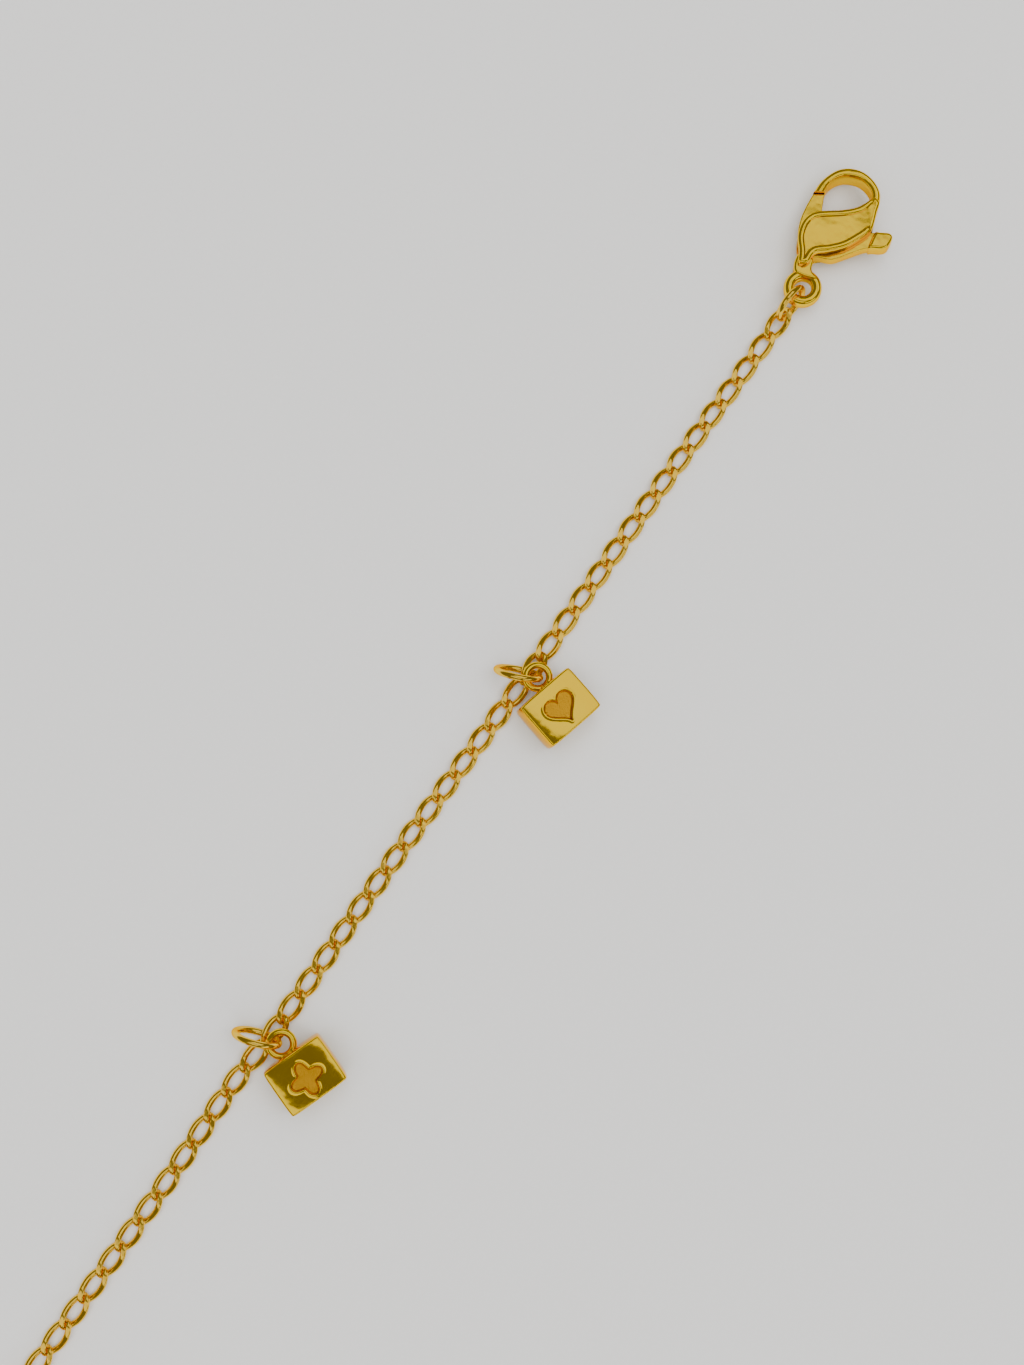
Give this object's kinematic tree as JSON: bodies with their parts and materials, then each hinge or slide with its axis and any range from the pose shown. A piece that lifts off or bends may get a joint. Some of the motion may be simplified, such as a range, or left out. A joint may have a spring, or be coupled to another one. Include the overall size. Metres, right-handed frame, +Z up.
{
  "type": "charm bracelet",
  "caption": "Curb chain bracelet laid out open, with a lobster clasp at one end, a plain ring at the other and square block charms hung on jump rings along its length.",
  "frame": {"origin": "on the table under the middle of the laid-out bracelet", "axes": "+X along the chain to the clasp, +Y across the chain away from the charms, +Z up from the table"},
  "size_m": [0.1862, 0.0102, 0.004],
  "materials": {
    "gold_polished": "polished, gold plated",
    "gold_wire": "polished wire, gold plated"
  },
  "bodies": {
    "bracelet": {"chain": "gold_wire", "charm_1": "gold_polished", "charm_2": "gold_polished", "charm_3": "gold_polished", "charm_4": "gold_polished", "jump_ring_1": "gold_wire", "jump_ring_2": "gold_wire", "jump_ring_3": "gold_wire", "jump_ring_4": "gold_wire", "connector_ring": "gold_wire", "end_ring": "gold_wire", "clasp_body": "gold_polished", "clasp_pin": "gold_polished"},
    "lever": {"clasp_lever": "gold_polished"}
  },
  "joints": [
    {"name": "lever_hinge", "type": "hinge", "parent": "bracelet", "child": "lever", "pos_m": [0.08621, 0.00257, 0.00156], "axis": [0.0429, -0.1859, -0.9816], "range_deg": [0, 24], "stiffness_Nm_per_rad": 0.006, "springref_deg": -22.92}
  ]
}
